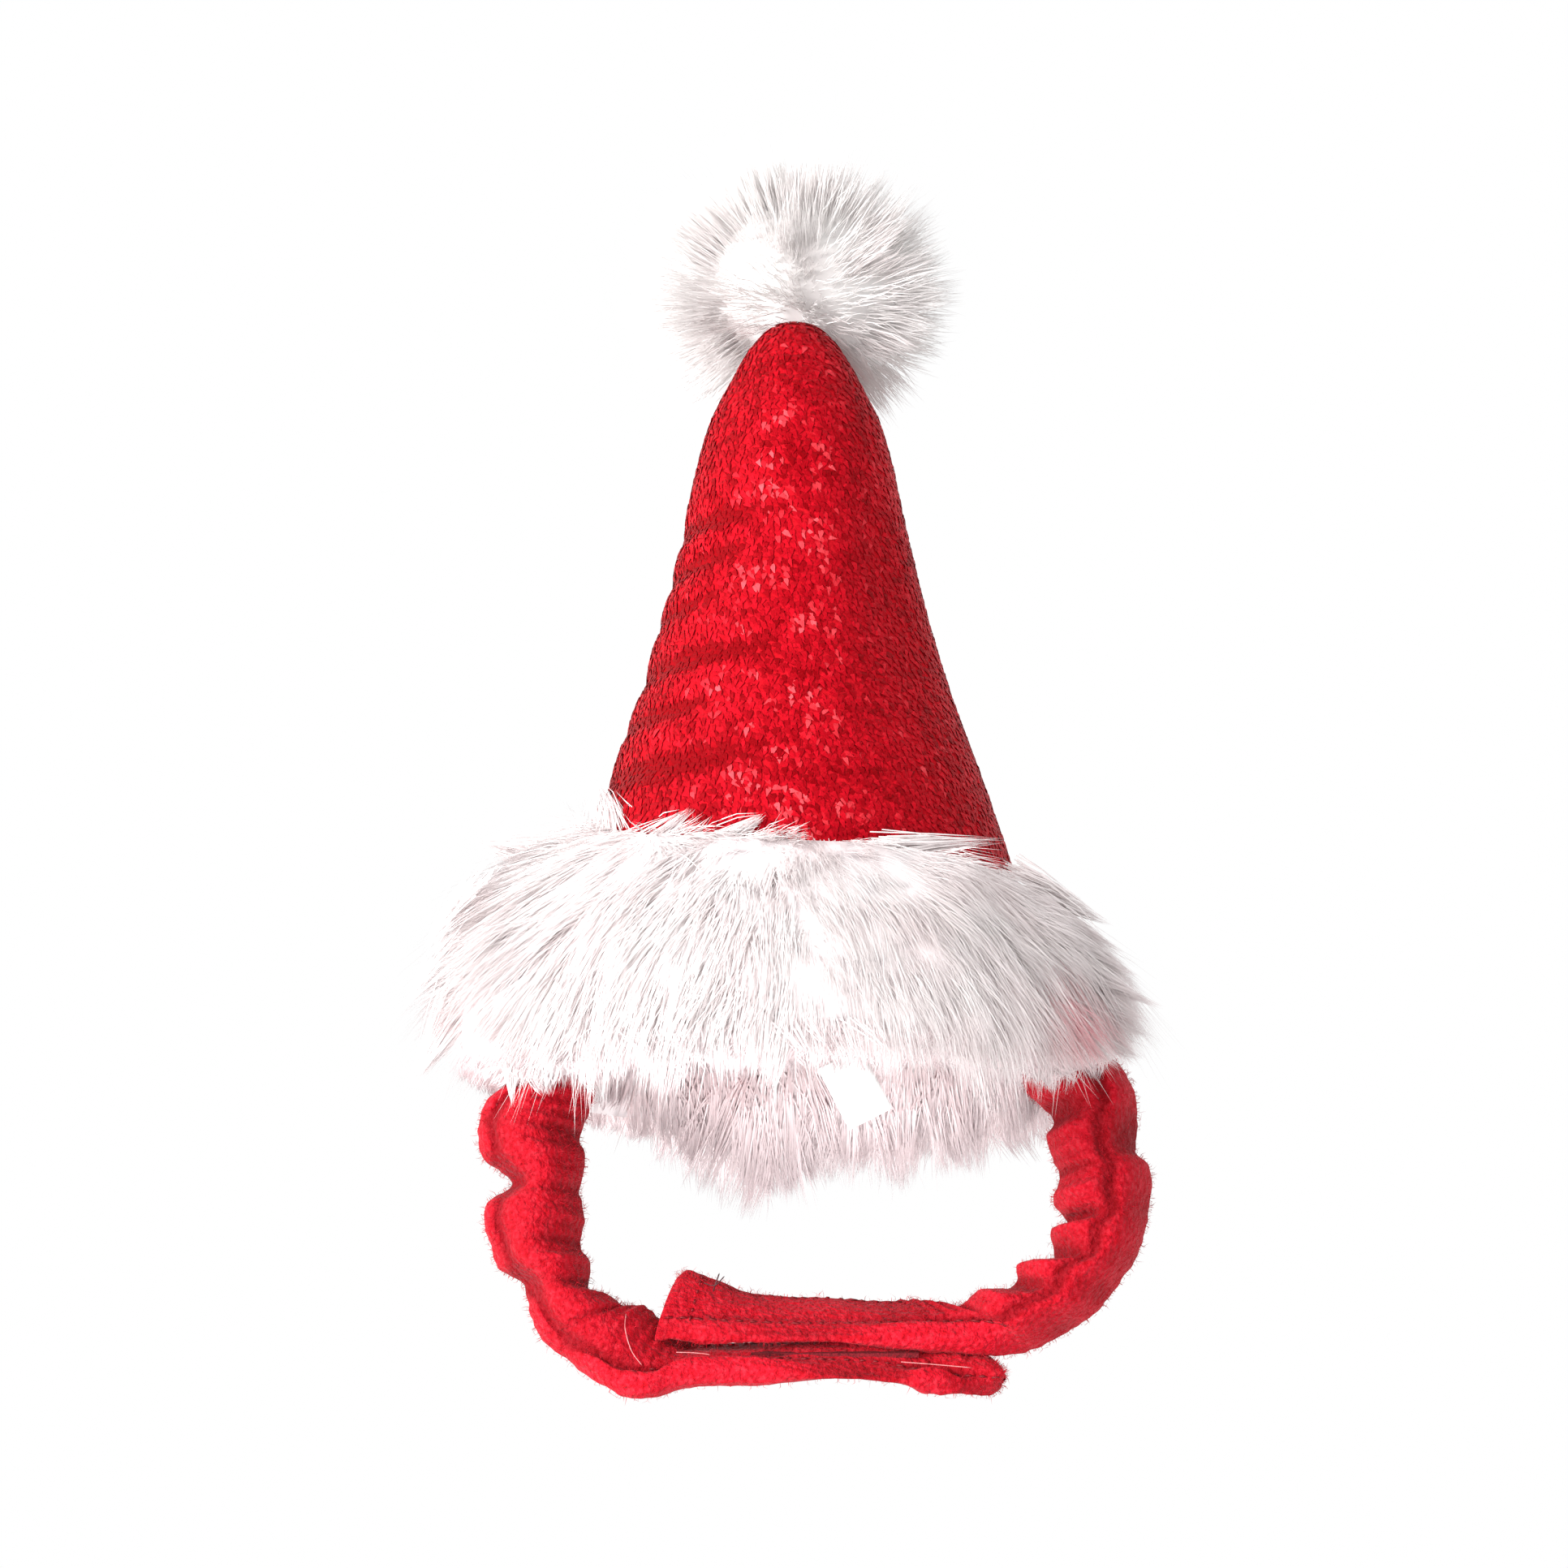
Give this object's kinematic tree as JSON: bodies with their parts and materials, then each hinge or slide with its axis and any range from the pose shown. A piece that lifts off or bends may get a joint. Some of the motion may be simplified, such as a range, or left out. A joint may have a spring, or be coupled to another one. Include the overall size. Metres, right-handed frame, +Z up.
{
  "type": "pet santa hat",
  "caption": "Soft red plush cone hat for a small pet, with a white fur pompom, a deep white fur brim and a gathered red chin strap closed by overlapping tabs.",
  "frame": {"origin": "middle of the head opening, in the plane of the cone's lower edge", "axes": "+Z up along the cone to its tip, -Y to the front, +X to the right seen from the front"},
  "size_m": [0.1508, 0.1277, 0.2661],
  "materials": {
    "red_plush": "short plush pile",
    "white_fur": "long silky faux fur",
    "red_fleece": "gathered fleece",
    "hook_and_loop": "rough tape",
    "white_satin": "smooth woven ribbon"
  },
  "bodies": {
    "root": {"crown": "red_plush", "brim_fur": "white_fur", "pompom": "white_fur", "strap_left": "red_fleece", "strap_right": "red_fleece", "tab_left": "red_fleece", "tab_right": "red_fleece", "closure_patch": "hook_and_loop", "label": "white_satin"}
  },
  "joints": []
}
